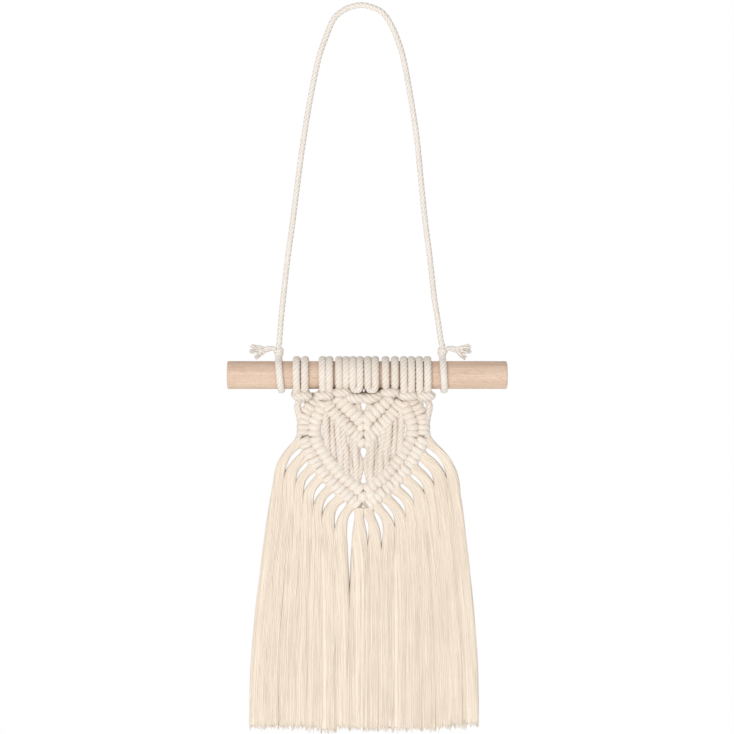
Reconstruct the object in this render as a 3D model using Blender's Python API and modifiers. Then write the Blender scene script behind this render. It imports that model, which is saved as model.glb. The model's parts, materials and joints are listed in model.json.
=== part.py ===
"""Macrame wall hanging: a beech dowel, a hanging cord, eight knotting cords
mounted with lark's heads and tied into a heart, and their sixteen brushed ends.

Frame: metres, +Z up, -Y towards the viewer. The origin is the hanging point, the
underside of the hanging cord where it goes over a hook. The knotted panel and the
fringe hang in the plane y = 0, below the dowel's axis.

Knotted pieces are given as (across, down) in millimetres: across from the panel's
centre line, down from the dowel's underside, drawn for a cord of DRAWN_CORD.
"""

import math

import bpy
from mathutils import Vector

MM = 0.001
COLLECTION = "macrame_wall_hanging"

# ---- driving dimensions -------------------------------------------------------
DOWEL_DIAMETER = 15.0 * MM
DOWEL_LENGTH = 150.0 * MM
DOWEL_CHAMFER = 0.8 * MM
DOWEL_CENTRE_X = 3.1 * MM
DOWEL_SIDES = 32

HANG_DROP = 197.0 * MM
HANG_CORD = 3.2 * MM
HANG_STEP = 8.0 * MM
LOOP_STEPS = 20
LOOP_REACH_LEFT = 9.7 * MM
LOOP_REACH_RIGHT = 8.1 * MM
KNOT_RADIUS = 2.8 * MM
KNOT_RISE = 4.9 * MM
TAIL_RISE = 1.1 * MM
TAIL_LENGTH = 12.5 * MM
TAIL_SPREAD = 2.7 * MM

KNOT_CORD = 4.0 * MM
PANEL_X = 1.07 * MM
FRINGE_END = 181.0 * MM

# The air between pieces that touch, between neighbouring locks of the fringe, and
# between a hanging knot and the slanted end of the cord above it.
GAP = 0.3 * MM
LOCK_GAP = 0.36 * MM
CORD_END_GAP = 0.45 * MM

# ---- sizes that follow from them ------------------------------------------------
DRAWN_CORD = 4.0 * MM
KNOT_SCALE = KNOT_CORD / DRAWN_CORD
# A soft cord flattens against its neighbours, so its solid keeps to its core.
STRAND = 0.8 * KNOT_CORD
ROPE = 1.0 * KNOT_CORD
DOWEL_RADIUS = DOWEL_DIAMETER / 2
DOWEL_Z = -HANG_DROP
DOWEL_BOTTOM = DOWEL_Z - DOWEL_RADIUS
KNOT_Z = DOWEL_Z + DOWEL_RADIUS + KNOT_RISE
# The hanging cord's centre line starts above its underside, the origin.
APEX_Z = HANG_CORD / 2

# Each lark's head: (centre across the dowel, half the distance between its strands,
# how far below the dowel's underside its bar starts to turn).
LARK_HEADS = [
    (-33.6, 2.25, 1.6),
    (-20.1, 1.85, 2.0),
    (-11.2, 1.90, 1.9),
    (-3.8, 1.90, 3.3),
    (4.3, 2.05, 3.3),
    (14.3, 2.50, 1.5),
    (23.6, 2.05, 2.0),
    (32.1, 2.20, 1.6),
]
# How far in front of the dowel's axis each bar starts to turn, and the way it turns,
# down and back below the dowel.
BAR_OUT = 5.0
BAR_TILT = math.radians(35)
# The angle that a strand wraps from the dowel's top to the back.
LARK_BACK = math.radians(150)
LARK_STEPS = 16
LARK_TURN_STEPS = 6

# The hanging cord's two sides, from the knot up to the apex: the share of the
# knot's distance from the centre line, and the share of the height above the knot.
HANG_LEFT = [
    (1.000, 0.000),
    (0.990, 0.018),
    (0.970, 0.080),
    (0.946, 0.136),
    (0.892, 0.254),
    (0.827, 0.370),
    (0.766, 0.488),
    (0.699, 0.606),
    (0.620, 0.723),
    (0.520, 0.840),
    (0.422, 0.911),
    (0.337, 0.958),
    (0.240, 0.981),
    (0.144, 0.993),
]
HANG_RIGHT = [
    (0.135, 0.993),
    (0.241, 0.981),
    (0.326, 0.958),
    (0.425, 0.911),
    (0.520, 0.840),
    (0.611, 0.723),
    (0.685, 0.606),
    (0.733, 0.488),
    (0.784, 0.370),
    (0.846, 0.254),
    (0.901, 0.136),
    (0.940, 0.080),
    (0.978, 0.018),
    (1.000, 0.000),
]

# Left half of the knotted panel, each row's centre line; the right half mirrors it.
V_BAND = [(-13.2, 5.6), (-8.5, 9.4), (-5.6, 12.6), (-3.2, 15.6)]
V_BAND_RADIUS = 3.1
SECOND_ROW = [(-18.2, 9.3), (-13.6, 16.0), (-7.8, 22.3), (-3.3, 26.2)]
SECOND_ROW_RADIUS = 3.0
HEART_BAND = [
    (-24.2, 12.6),
    (-26.1, 18.5),
    (-26.4, 24.6),
    (-24.2, 31.2),
    (-19.6, 38.8),
    (-13.0, 45.8),
    (-6.8, 50.6),
    (-2.9, 53.5),
]
HEART_BAND_RADIUS = 3.0
EDGE_BAND = [(-24.6, 6.2), (-29.8, 10.6), (-32.2, 16.2), (-32.4, 22.0), (-34.4, 26.6)]
EDGE_BAND_RADIUS = 2.3
SIDE_STRAND = [(-33.6, 6.8), (-35.0, 9.6), (-36.2, 13.0)]
SIDE_STRAND_RADIUS = 1.7
FRINGE_ROW = [
    (-31.7, 31.4),
    (-29.3, 35.6),
    (-24.8, 42.4),
    (-18.8, 49.2),
    (-11.4, 56.0),
    (-3.5, 62.4),
]
FRINGE_ROW_RADIUS = 2.8
OUTER_CORDS = [(-19.2, 17.2), (-18.6, 23.0), (-17.0, 30.0), (-15.0, 36.4)]
MIDDLE_CORDS = [(-13.2, 23.8), (-12.2, 29.0), (-10.6, 36.0), (-8.6, 42.4)]
INNER_CORDS = [(-7.0, 29.4), (-5.3, 34.6), (-4.2, 40.6), (-4.4, 46.8)]
INNER_CORDS_RADIUS = 1.9
TIP_KNOT = (0.0, 55.6)
TIP_KNOT_RADIUS = 3.0

# Where each of the left half's eight strands leaves the last row, outermost first.
EXITS = [
    (-37.4, 31.3),
    (-34.3, 37.3),
    (-30.3, 43.5),
    (-25.8, 49.3),
    (-20.8, 54.9),
    (-15.2, 60.3),
    (-9.3, 65.3),
    (-3.1, 69.3),
]
LOCKS_EACH_SIDE = len(EXITS)
# The width of one lock's column at the depth where the fringe starts, and at its end.
FRINGE_TOP = 45.0 * MM * KNOT_SCALE
FRINGE_PITCH_TOP = 5.9 * MM * KNOT_SCALE
FRINGE_PITCH_END = 7.65 * MM * KNOT_SCALE
# How far each lock bellies outwards below its exit, how deep its bend is, and how
# deep it takes to fill its column.
LOCK_BULGE = 2.2
LOCK_BEND = 20.0
LOCK_FILL = 44.0
LOCK_STEP = 20.0 * MM
# The belly's depth as a share of the bend, and how far its column pulls it across.
BELLY_DEPTH = 0.45
BELLY_PULL = 0.35
# A lock's rounded top, a ball about its exit: (height, radius) in rope radii.
ROUND_TOP = [(0.96, 0.28), (0.70, 0.71)]

COTTON = (0.86, 0.80, 0.70, 1.0)
FRINGE_COTTON = (0.88, 0.80, 0.67, 1.0)
BEECH = (0.78, 0.60, 0.44, 1.0)
COTTON_ROUGHNESS = 0.9
FRINGE_ROUGHNESS = 0.95
BEECH_ROUGHNESS = 0.6


# ---- helpers -------------------------------------------------------------------
def clear_scene():
    for obj in list(bpy.data.objects):
        bpy.data.objects.remove(obj, do_unlink=True)


def material(name, colour, roughness):
    made = bpy.data.materials.new(name)
    made.use_nodes = True
    shader = made.node_tree.nodes["Principled BSDF"]
    shader.inputs["Base Color"].default_value = colour
    shader.inputs["Roughness"].default_value = roughness
    shader.inputs["Metallic"].default_value = 0.0
    return made


def panel_point(across, down):
    """A point of the knotted panel, from its distances in drawn millimetres."""
    return Vector((
        PANEL_X + across * MM * KNOT_SCALE,
        0.0,
        DOWEL_BOTTOM - down * MM * KNOT_SCALE,
    ))


def smooth_points(route, step):
    """Points a step apart on a Catmull-Rom curve through the route's points."""
    ends = [2 * route[0] - route[1]] + route + [2 * route[-1] - route[-2]]
    points = [route[0]]
    for before, start, end, after in zip(ends, ends[1:], ends[2:], ends[3:]):
        count = max(1, round((end - start).length / step))
        for k in range(1, count + 1):
            t = k / count
            points.append(0.5 * (
                2 * start
                + (end - before) * t
                + (2 * before - 5 * start + 4 * end - after) * t ** 2
                + (3 * start - before - 3 * end + after) * t ** 3
            ))
    return points


def tube(name, points, radius, finish, sides=8, radii=None):
    """A closed round tube along the points, as thick as its radius times each radii."""
    curve = bpy.data.curves.new(name, "CURVE")
    curve.dimensions = "3D"
    curve.bevel_depth = radius
    curve.bevel_resolution = (sides - 4) // 2
    curve.use_fill_caps = True
    spline = curve.splines.new("POLY")
    spline.points.add(len(points) - 1)
    for k, (place, point) in enumerate(zip(points, spline.points)):
        point.co = (*place, 1.0)
        point.radius = radii[k] if radii else 1.0
    return add(name, curve, finish)


def add(name, data, finish):
    obj = bpy.data.objects.new(name, data)
    data.materials.append(finish)
    bpy.data.collections[COLLECTION].objects.link(obj)
    return obj


def adopt(obj, name, finish):
    """Names an object that a primitive tool made and moves it to the collection."""
    for owner in list(obj.users_collection):
        owner.objects.unlink(obj)
    bpy.data.collections[COLLECTION].objects.link(obj)
    obj.name = name
    obj.data.name = name
    obj.data.materials.append(finish)
    return obj


def ball(name, centre, radius, finish):
    bpy.ops.mesh.primitive_uv_sphere_add(
        segments=12, ring_count=8, radius=radius, location=centre
    )
    obj = adopt(bpy.context.object, name, finish)
    obj.data.shade_smooth()
    return obj


# ---- the dowel ------------------------------------------------------------------
def make_dowel():
    bpy.ops.mesh.primitive_cylinder_add(
        vertices=DOWEL_SIDES,
        radius=DOWEL_RADIUS,
        depth=DOWEL_LENGTH,
        location=(DOWEL_CENTRE_X, 0.0, DOWEL_Z),
        rotation=(0.0, math.pi / 2, 0.0),
    )
    dowel = adopt(bpy.context.object, "dowel", material("beech_dowel", BEECH, BEECH_ROUGHNESS))
    edges = dowel.modifiers.new("end_chamfers", "BEVEL")
    edges.width = DOWEL_CHAMFER
    edges.segments = 2
    edges.limit_method = "ANGLE"
    edges.angle_limit = math.radians(60)
    dowel.data.shade_smooth()
    dowel.data.set_sharp_from_angle(angle=math.radians(40))


def ring_radius(cord, half_step):
    """A cord's centre line round the dowel, whose straight steps clear the wood."""
    return (DOWEL_RADIUS + GAP) / math.cos(half_step) + cord / 2


# ---- the hanging cord, with its two tied ends -------------------------------------
def knot_places():
    """The two hanging knots' x, outside the first and the last lark's head."""
    first = LARK_HEADS[0][0] - LARK_HEADS[0][1]
    last = LARK_HEADS[-1][0] + LARK_HEADS[-1][1]
    left = PANEL_X + first * MM * KNOT_SCALE - LOOP_REACH_LEFT
    right = PANEL_X + last * MM * KNOT_SCALE + LOOP_REACH_RIGHT
    return left, right


def hanging_route():
    left, right = knot_places()
    base = KNOT_Z + KNOT_RADIUS + CORD_END_GAP
    rise = APEX_Z - base
    route = [Vector((left * x, 0.0, base + rise * z)) for x, z in HANG_LEFT]
    route.append(Vector((0.0, 0.0, APEX_Z)))
    route += [Vector((right * x, 0.0, base + rise * z)) for x, z in HANG_RIGHT]
    return route


def make_hanging_cord():
    cotton = material("hanging_cord_cotton", COTTON, COTTON_ROUGHNESS)
    points = smooth_points(hanging_route(), HANG_STEP)
    tube("hanging_cord", points, HANG_CORD / 2, cotton)


def make_tied_end(side, x, outwards):
    """One end of the hanging cord: its loop round the dowel, its knot and its tail."""
    radius = HANG_CORD / 2
    ring = ring_radius(HANG_CORD, math.pi / LOOP_STEPS)
    reach = KNOT_Z - DOWEL_Z
    outer = ring + radius
    clear = KNOT_RADIUS + GAP
    start = math.acos((reach ** 2 + outer ** 2 - clear ** 2) / (2 * reach * outer))
    loop = []
    for k in range(LOOP_STEPS + 1):
        angle = start + (2 * math.pi - 2 * start) * k / LOOP_STEPS
        loop.append(Vector((x, ring * math.sin(angle), DOWEL_Z + ring * math.cos(angle))))
    tube(f"{side}_end_loop", loop, radius, material(f"{side}_loop_cotton", COTTON, COTTON_ROUGHNESS))
    ball(f"{side}_hanging_knot", (x, 0.0, KNOT_Z), KNOT_RADIUS,
         material(f"{side}_knot_cotton", COTTON, COTTON_ROUGHNESS))
    near = x + outwards * (KNOT_RADIUS + GAP)
    middle = near + outwards * TAIL_LENGTH / 2
    far = near + outwards * TAIL_LENGTH
    route = [
        Vector((near, 0.0, KNOT_Z + TAIL_RISE)),
        Vector((middle, 0.0, KNOT_Z + TAIL_RISE)),
        Vector((far, 0.0, KNOT_Z)),
    ]
    points = smooth_points(route, TAIL_LENGTH / 5)
    last = len(points) - 1
    widths = [1.0 + (TAIL_SPREAD / radius - 1.0) * k / last for k in range(last + 1)]
    tube(f"{side}_frayed_tail", points, radius,
         material(f"{side}_tail_cotton", COTTON, COTTON_ROUGHNESS), radii=widths)


# ---- the lark's heads that hold the knotting cords ----------------------------------
def lark_head_points(centre, half, bar_down):
    """Up the back of the dowel, over, down the front, across the bar and back again."""
    scale = MM * KNOT_SCALE
    half = half * scale
    middle = PANEL_X + centre * scale
    ring = ring_radius(STRAND, LARK_BACK / LARK_STEPS)
    bar = Vector((0.0, -BAR_OUT * scale, -DOWEL_RADIUS - bar_down * scale))
    # The strand leaves the wood where the line to its bar touches its own ring.
    front = math.atan2(-bar.y, bar.z) - math.acos(ring / bar.length)
    side = []
    for k in range(LARK_STEPS + 1):
        angle = (LARK_BACK + front) * k / LARK_STEPS - LARK_BACK
        side.append(Vector((0.0, -ring * math.sin(angle), ring * math.cos(angle))))
    side.append(bar)
    turn = []
    for k in range(1, LARK_TURN_STEPS):
        angle = math.pi * k / LARK_TURN_STEPS
        along = half * math.sin(angle)
        turn.append(bar + Vector((
            -half * math.cos(angle),
            along * math.sin(BAR_TILT),
            -along * math.cos(BAR_TILT),
        )))
    axis = Vector((middle, 0.0, DOWEL_Z))
    shift = Vector((half, 0.0, 0.0))
    down = [axis + point - shift for point in side]
    across = [axis + point for point in turn]
    back = [axis + point + shift for point in reversed(side)]
    return down + across + back


def make_lark_heads():
    for number, (centre, half, bar_down) in enumerate(LARK_HEADS, start=1):
        cotton = material(f"lark_head_{number}_cotton", COTTON, COTTON_ROUGHNESS)
        points = lark_head_points(centre, half, bar_down)
        tube(f"lark_head_{number}", points, STRAND / 2, cotton, sides=6)


# ---- the knotted rows -----------------------------------------------------------------
def make_row(name, drawn, radius, step=4.0):
    """A row of knots as one round body, on the left and mirrored on the right."""
    for side, sign in (("left", 1), ("right", -1)):
        route = [panel_point(sign * across, down) for across, down in drawn]
        points = smooth_points(route, step * MM * KNOT_SCALE)
        cotton = material(f"{side}_{name}_cotton", COTTON, COTTON_ROUGHNESS)
        tube(f"{side}_{name}", points, radius * MM * KNOT_SCALE, cotton)


def make_knotted_panel():
    make_row("v_band", V_BAND, V_BAND_RADIUS)
    make_row("second_row", SECOND_ROW, SECOND_ROW_RADIUS)
    make_row("heart_band", HEART_BAND, HEART_BAND_RADIUS)
    make_row("edge_band", EDGE_BAND, EDGE_BAND_RADIUS)
    make_row("side_strand", SIDE_STRAND, SIDE_STRAND_RADIUS)
    make_row("fringe_row", FRINGE_ROW, FRINGE_ROW_RADIUS)
    make_row("outer_cords", OUTER_CORDS, INNER_CORDS_RADIUS)
    make_row("middle_cords", MIDDLE_CORDS, INNER_CORDS_RADIUS)
    make_row("inner_cords", INNER_CORDS, INNER_CORDS_RADIUS)
    ball("tip_knot", panel_point(*TIP_KNOT), TIP_KNOT_RADIUS * MM * KNOT_SCALE,
         material("tip_knot_cotton", COTTON, COTTON_ROUGHNESS))


# ---- the fringe -------------------------------------------------------------------------
def pitch_at(down):
    """The width of one lock's column at a depth below the dowel."""
    share = (down - FRINGE_TOP) / (FRINGE_END - FRINGE_TOP)
    grown = math.sin(math.pi / 2 * min(1.0, max(0.0, share)))
    return FRINGE_PITCH_TOP + (FRINGE_PITCH_END - FRINGE_PITCH_TOP) * grown


def lock_route(index, sign):
    """(point, radius) pairs down one lock; its rounded top turns about its exit."""
    exit_point = panel_point(sign * EXITS[index][0], EXITS[index][1])
    columns = LOCKS_EACH_SIDE - index - 0.5
    exit_down = DOWEL_BOTTOM - exit_point.z
    bend = LOCK_BEND * MM * KNOT_SCALE
    rope = ROPE / 2

    def column(down):
        return PANEL_X - sign * columns * pitch_at(down)

    def thickness(down):
        filled = min(1.0, (down - exit_down) / (LOCK_FILL * MM * KNOT_SCALE))
        full = (pitch_at(down) - LOCK_GAP) / 2
        return rope + (full - rope) * max(0.0, filled)

    bulge = exit_point.x - sign * LOCK_BULGE * MM * KNOT_SCALE
    below_x = column(exit_down + bend)
    belly_x = BELLY_PULL * below_x + (1 - BELLY_PULL) * bulge
    belly = Vector((belly_x, 0.0, exit_point.z - BELLY_DEPTH * bend))
    below = Vector((below_x, 0.0, exit_point.z - bend))
    bent = smooth_points([exit_point, belly, below], bend / 4)
    leave = (bent[1] - bent[0]).normalized()
    route = [(exit_point - up * rope * leave, width * rope) for up, width in ROUND_TOP]
    route += [(point, thickness(DOWEL_BOTTOM - point.z)) for point in bent]
    straight = FRINGE_END - exit_down - bend
    count = math.ceil(straight / LOCK_STEP)
    for k in range(1, count + 1):
        down = exit_down + bend + straight * k / count
        place = Vector((column(down), 0.0, DOWEL_BOTTOM - down))
        route.append((place, thickness(down)))
    return route


def make_fringe():
    for number in range(1, 2 * LOCKS_EACH_SIDE + 1):
        on_left = number <= LOCKS_EACH_SIDE
        index = number - 1 if on_left else 2 * LOCKS_EACH_SIDE - number
        route = lock_route(index, 1 if on_left else -1)
        widest = max(radius for point, radius in route)
        cotton = material(f"fringe_lock_{number:02d}_cotton", FRINGE_COTTON, FRINGE_ROUGHNESS)
        tube(f"fringe_lock_{number:02d}", [point for point, radius in route], widest,
             cotton, radii=[radius / widest for point, radius in route])


def build():
    clear_scene()
    holder = bpy.data.collections.new(COLLECTION)
    bpy.context.scene.collection.children.link(holder)
    make_dowel()
    make_hanging_cord()
    left, right = knot_places()
    make_tied_end("left", left, -1)
    make_tied_end("right", right, 1)
    make_lark_heads()
    make_knotted_panel()
    make_fringe()


build()
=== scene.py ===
import json
import math

import bpy
import numpy as np
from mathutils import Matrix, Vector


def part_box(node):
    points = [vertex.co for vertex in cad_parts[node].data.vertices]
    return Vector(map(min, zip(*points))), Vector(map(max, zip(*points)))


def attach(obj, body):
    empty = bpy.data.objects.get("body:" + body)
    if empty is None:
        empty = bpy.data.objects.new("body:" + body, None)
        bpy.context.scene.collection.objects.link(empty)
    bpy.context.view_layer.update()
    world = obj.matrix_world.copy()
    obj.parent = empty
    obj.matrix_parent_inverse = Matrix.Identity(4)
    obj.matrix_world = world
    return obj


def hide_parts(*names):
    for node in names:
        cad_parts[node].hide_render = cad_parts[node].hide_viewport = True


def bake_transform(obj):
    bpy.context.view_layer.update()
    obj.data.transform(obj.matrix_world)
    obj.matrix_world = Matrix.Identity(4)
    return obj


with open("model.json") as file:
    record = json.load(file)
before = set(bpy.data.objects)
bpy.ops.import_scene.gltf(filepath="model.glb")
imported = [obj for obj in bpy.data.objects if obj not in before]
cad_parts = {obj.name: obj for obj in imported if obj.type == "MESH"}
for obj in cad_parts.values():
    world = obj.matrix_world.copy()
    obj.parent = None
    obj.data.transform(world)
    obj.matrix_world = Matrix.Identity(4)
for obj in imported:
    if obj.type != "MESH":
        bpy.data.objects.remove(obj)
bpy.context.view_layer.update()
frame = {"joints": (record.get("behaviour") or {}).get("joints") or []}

MM = 0.001
TURN = 2 * math.pi
SEED = 20

# ---- places that the frame gives ----
def box_of(node):
    """A CAD node's lowest corner, highest corner and middle."""
    low, high = (np.array(corner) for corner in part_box(node))
    return low, high, (low + high) / 2


DOWEL_LOW, DOWEL_HIGH, DOWEL_MIDDLE = box_of("dowel")
DOWEL_RADIUS = (DOWEL_HIGH[2] - DOWEL_LOW[2]) / 2
DOWEL_Z = DOWEL_MIDDLE[2]
DOWEL_BOTTOM = DOWEL_LOW[2]
PANEL_X = box_of("tip_knot")[2][0]
FRINGE_Z = box_of("fringe_lock_01")[0][2]
EXITS = {
    joint["child"]: np.array(joint["pos_m"], float)
    for joint in frame["joints"]
    if joint["child"].startswith("lock_")
}
LOCKS = len(EXITS)

# ---- the cotton cord ----
HANG_CORD = 3.2 * MM
CORD_END_GAP = 0.45 * MM
CORD_HALF_WIDTH = 2.08 * MM
CORD_HALF_DEPTH = 1.35 * MM
LAY_LENGTH = 10.0 * MM
ROPE_STEP = 0.6 * MM

# The hanging cord's left side from its knot up to the apex, and its right side back
# down: the share of the knot's distance from the centre line, and of the height.
HANG_LEFT = [
    (1.000, 0.000), (0.990, 0.018), (0.970, 0.080), (0.946, 0.136), (0.892, 0.254),
    (0.827, 0.370), (0.766, 0.488), (0.699, 0.606), (0.620, 0.723), (0.520, 0.840),
    (0.422, 0.911), (0.337, 0.958), (0.240, 0.981), (0.144, 0.993),
]
HANG_RIGHT = [
    (0.135, 0.993), (0.241, 0.981), (0.326, 0.958), (0.425, 0.911), (0.520, 0.840),
    (0.611, 0.723), (0.685, 0.606), (0.733, 0.488), (0.784, 0.370), (0.846, 0.254),
    (0.901, 0.136), (0.940, 0.080), (0.978, 0.018), (1.000, 0.000),
]


# ---- lines and sections ----
def unit(vectors):
    return vectors / np.linalg.norm(vectors, axis=-1, keepdims=True)


def run_of(line):
    """The distance along a line at each of its points."""
    steps = np.linalg.norm(np.diff(line, axis=0), axis=1)
    return np.concatenate([[0.0], np.cumsum(steps)])


def between(run, line, stops):
    """A line's points at these stops, where run is how far along each of its points is."""
    return np.stack([np.interp(stops, run, line[:, k]) for k in range(3)], axis=1)


def at_runs(line, stops):
    """The points of a line at these distances along it."""
    return between(run_of(line), line, stops)


def smooth_line(route, step):
    """Evenly spaced points on a Catmull-Rom curve through the route's points."""
    route = np.asarray(route, float)
    ends = np.vstack([2 * route[0] - route[1], route, 2 * route[-1] - route[-2]])
    curve = [route[:1]]
    share = np.linspace(0.0, 1.0, 17)[1:, None]
    for before, start, end, after in zip(ends, ends[1:], ends[2:], ends[3:]):
        curve.append(0.5 * (
            2 * start
            + (end - before) * share
            + (2 * before - 5 * start + 4 * end - after) * share ** 2
            + (3 * start - before - 3 * end + after) * share ** 3
        ))
    curve = np.vstack(curve)
    length = run_of(curve)[-1]
    count = max(3, round(length / step))
    return at_runs(curve, np.linspace(0.0, length, count + 1))


def panel_points(route, forward=0.0):
    """Panel points in the frame, from (across, down) or (across, down, forward) in mm."""
    return np.array([
        (
            PANEL_X + point[0] * MM,
            -(point[2] if len(point) > 2 else forward) * MM,
            DOWEL_BOTTOM - point[1] * MM,
        )
        for point in route
    ])


def square_to(line, facing=None):
    """Two directions square to the line at each point; the first keeps to facing."""
    ahead = unit(np.gradient(line, axis=0))
    if facing is None:
        start = np.array([0.0, -1.0, 0.0])
        if abs(ahead[0] @ start) > 0.9:
            start = np.array([1.0, 0.0, 0.0])
        side = np.empty_like(line)
        last = start
        for k, direction in enumerate(ahead):
            last = last - (last @ direction) * direction
            last = last / np.linalg.norm(last)
            side[k] = last
    else:
        facing = np.broadcast_to(facing, line.shape)
        side = unit(facing - (facing * ahead).sum(axis=1, keepdims=True) * ahead)
    return side, np.cross(ahead, side)


def plied_section(plies, points, depth):
    """(angle, radius, painted shade) round a cord's section; its first point lies where two plies
    meet.
    """
    count = plies * points
    angle = TURN * np.arange(count) / count
    off = (angle * plies / TURN % 1.0 - 0.5) * TURN / plies
    centre = 1.0 / (1.0 + math.sin(math.pi / plies))
    ply = 1.0 - centre
    inside = np.maximum(0.0, ply ** 2 - (centre * np.sin(off)) ** 2)
    outline = centre * np.cos(off) + np.sqrt(inside)
    # Painted shade: deepest in the grooves between the plies, and weaker where the grooves are
    # shallow.
    hollow = (1.0 - outline) / (1.0 - outline.min()) * min(1.0, depth / 0.3)
    return angle, 1.0 - depth * (1.0 - outline), hollow


def round_section(points):
    angle = TURN * np.arange(points) / points
    return angle, np.ones(points), np.zeros(points)


CORD_SECTION = plied_section(4, 5, 0.34)
YARN_SECTION = round_section(4)


# ---- strands gathered into one mesh ----
# Painted shade on the two end caps of every strand.
CAP_PAINTED_SHADE = 0.3


def new_object(name, data):
    """An object with this data, in the scene."""
    made = bpy.data.objects.new(name, data)
    bpy.context.scene.collection.objects.link(made)
    return made


class Skein:
    """Strands of one piece, with what their cotton reads: along, around, shade (a strand's own tone)
    and painted shade.
    """

    def __init__(self):
        self.strands = []

    def lay(self, line, radius, section=CORD_SECTION, flat=1.0, lay_length=LAY_LENGTH,
            facing=None, shade=0.5, phase=0.0, hollow=0.0):
        """Sweeps a section along a line, its plies winding round once each lay length."""
        line = np.asarray(line, float)
        count = len(line)
        radius = np.broadcast_to(radius, count)
        flat = np.broadcast_to(flat, count)
        side, over = square_to(line, facing)
        angles, radii, painted_shades = section
        run = run_of(line)
        turned = angles[None, :] + phase
        if lay_length:
            turned = turned + TURN * run[:, None] / lay_length
        reach = radius[:, None] * np.broadcast_to(radii, (count, len(angles)))
        out = (np.cos(turned) * reach * flat[:, None])[:, :, None] * side[:, None, :]
        out = out + (np.sin(turned) * reach)[:, :, None] * over[:, None, :]
        rings = line[:, None, :] + out
        # Each point's painted shade: its section's groove shade plus the strand's own painted shade.
        self.strands.append({
            "rings": rings,
            "ends": (line[0], line[-1]),
            "run": run,
            "girth": TURN * float(radius.mean()),
            "shade": shade,
            "hollow": np.clip(painted_shades[None, :] + np.zeros((count, 1)) + hollow, 0.0, 1.0),
        })

    def mesh(self, name):
        """One mesh of every strand, each with a cap at its two ends."""
        area = sum(strand["run"][-1] * strand["girth"] for strand in self.strands)
        row_length = math.sqrt(area)
        rows = [max(1, math.ceil(strand["run"][-1] / row_length)) for strand in self.strands]
        total_rows = sum(rows)
        places, faces, shade, hollow = [], [], [], []
        fibre_map, bake_map = [], []
        first, first_row = 0, 0
        for strand, strand_rows in zip(self.strands, rows):
            count, sides = strand["rings"].shape[:2]
            places.append(strand["rings"].reshape(-1, 3))
            places.append(np.array(strand["ends"]))
            station = np.repeat(np.arange(count - 1), sides)
            column = np.tile(np.arange(sides), count - 1)
            after = (column + 1) % sides
            low = first + station * sides
            quads = np.stack([low + column, low + after, low + sides + after,
                              low + sides + column], axis=1)
            faces += quads.tolist()
            run = strand["run"] / MM
            begin, end = run[station], run[station + 1]
            left, right = column / sides, (column + 1) / sides
            fibre_map.append(np.stack([begin, left, begin, right, end, right, end, left], 1))
            per_row = math.ceil((count - 1) / strand_rows)
            row = first_row + station // per_row
            start = (station % per_row) / per_row
            stop = start + 1.0 / per_row
            low_v, high_v = (row + left) / total_rows, (row + right) / total_rows
            bake_map.append(np.stack([start, low_v, start, high_v, stop, high_v, stop, low_v], 1))
            poles = first + count * sides
            ring = np.arange(sides)
            after = (ring + 1) % sides
            last = first + (count - 1) * sides
            caps = [np.stack([ring * 0 + poles, first + after, first + ring], axis=1),
                    np.stack([ring * 0 + poles + 1, last + ring, last + after], axis=1)]
            for cap, distance, u, cap_row in (
                (caps[0], run[0], 0.0, first_row),
                (caps[1], run[-1], 1.0, first_row + strand_rows - 1),
            ):
                faces += cap.tolist()
                left, right = ring / sides, (ring + 1) / sides
                same = np.full(sides, distance)
                edge = np.full(sides, u)
                tip = np.full(sides, abs(u - 0.002))
                fibre_map.append(np.stack([same, left, same, right, same, left], 1))
                low_v = (cap_row + left) / total_rows
                high_v = (cap_row + right) / total_rows
                bake_map.append(np.stack([tip, low_v, edge, high_v, edge, low_v], 1))
            shade.append(np.full(count * sides + 2, strand["shade"]))
            hollow.append(strand["hollow"].ravel())
            # The strand's two end caps get painted shade.
            hollow.append(np.full(2, CAP_PAINTED_SHADE))
            first += count * sides + 2
            first_row += strand_rows
        made = bpy.data.meshes.new(name)
        made.from_pydata(np.vstack(places).tolist(), [], faces)
        for key, values in (("strand", fibre_map), ("OFBake", bake_map)):
            layer = made.uv_layers.new(name=key, do_init=False)
            flat = np.concatenate([value.ravel() for value in values])
            layer.uv.foreach_set("vector", flat.astype(np.float32))
        for key, values in (("shade", shade), ("hollow", hollow)):
            layer = made.attributes.new(key, "FLOAT", "POINT")
            layer.data.foreach_set("value", np.concatenate(values).astype(np.float32))
        made.polygons.foreach_set("use_smooth", np.ones(len(made.polygons), bool))
        made.update()
        return made

    def piece(self, name, finish, slot, body, *nodes):
        """The skein as a shown piece that stands for these CAD nodes."""
        made = new_object(name, self.mesh(name))
        made.data.materials.append(finish)
        if body:
            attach(made, body)
        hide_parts(*nodes)
        return made


def varied(random):
    """A strand's own shade and the turn of its plies."""
    return {"shade": random.uniform(0.2, 0.8), "phase": random.uniform(0.0, TURN)}


# ---- shader nodes ----
def add_node(tree, kind, inputs=None, **settings):
    """A node with its settings, and its inputs set to values or joined to sockets."""
    made = tree.nodes.new(kind)
    for key, value in settings.items():
        setattr(made, key, value)
    for key, value in (inputs or {}).items():
        if isinstance(value, bpy.types.NodeSocket):
            tree.links.new(value, made.inputs[key])
        else:
            made.inputs[key].default_value = value
    return made


def maths(tree, operation, first, second=0.0, third=0.0):
    made = add_node(tree, "ShaderNodeMath", {0: first, 1: second, 2: third}, operation=operation)
    return made.outputs[0]


def ranged(tree, value, low, high, to_low, to_high):
    made = add_node(tree, "ShaderNodeMapRange", {
        "Value": value, "From Min": low, "From Max": high, "To Min": to_low, "To Max": to_high,
    })
    return made.outputs["Result"]


def mixed(tree, share, first, second):
    """The mix of two colours by a share."""
    made = add_node(tree, "ShaderNodeMix", data_type="RGBA")
    for socket, value in ((made.inputs[0], share), (made.inputs[6], first), (made.inputs[7], second)):
        if isinstance(value, bpy.types.NodeSocket):
            tree.links.new(value, socket)
        else:
            socket.default_value = value
    return made.outputs[2]


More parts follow.
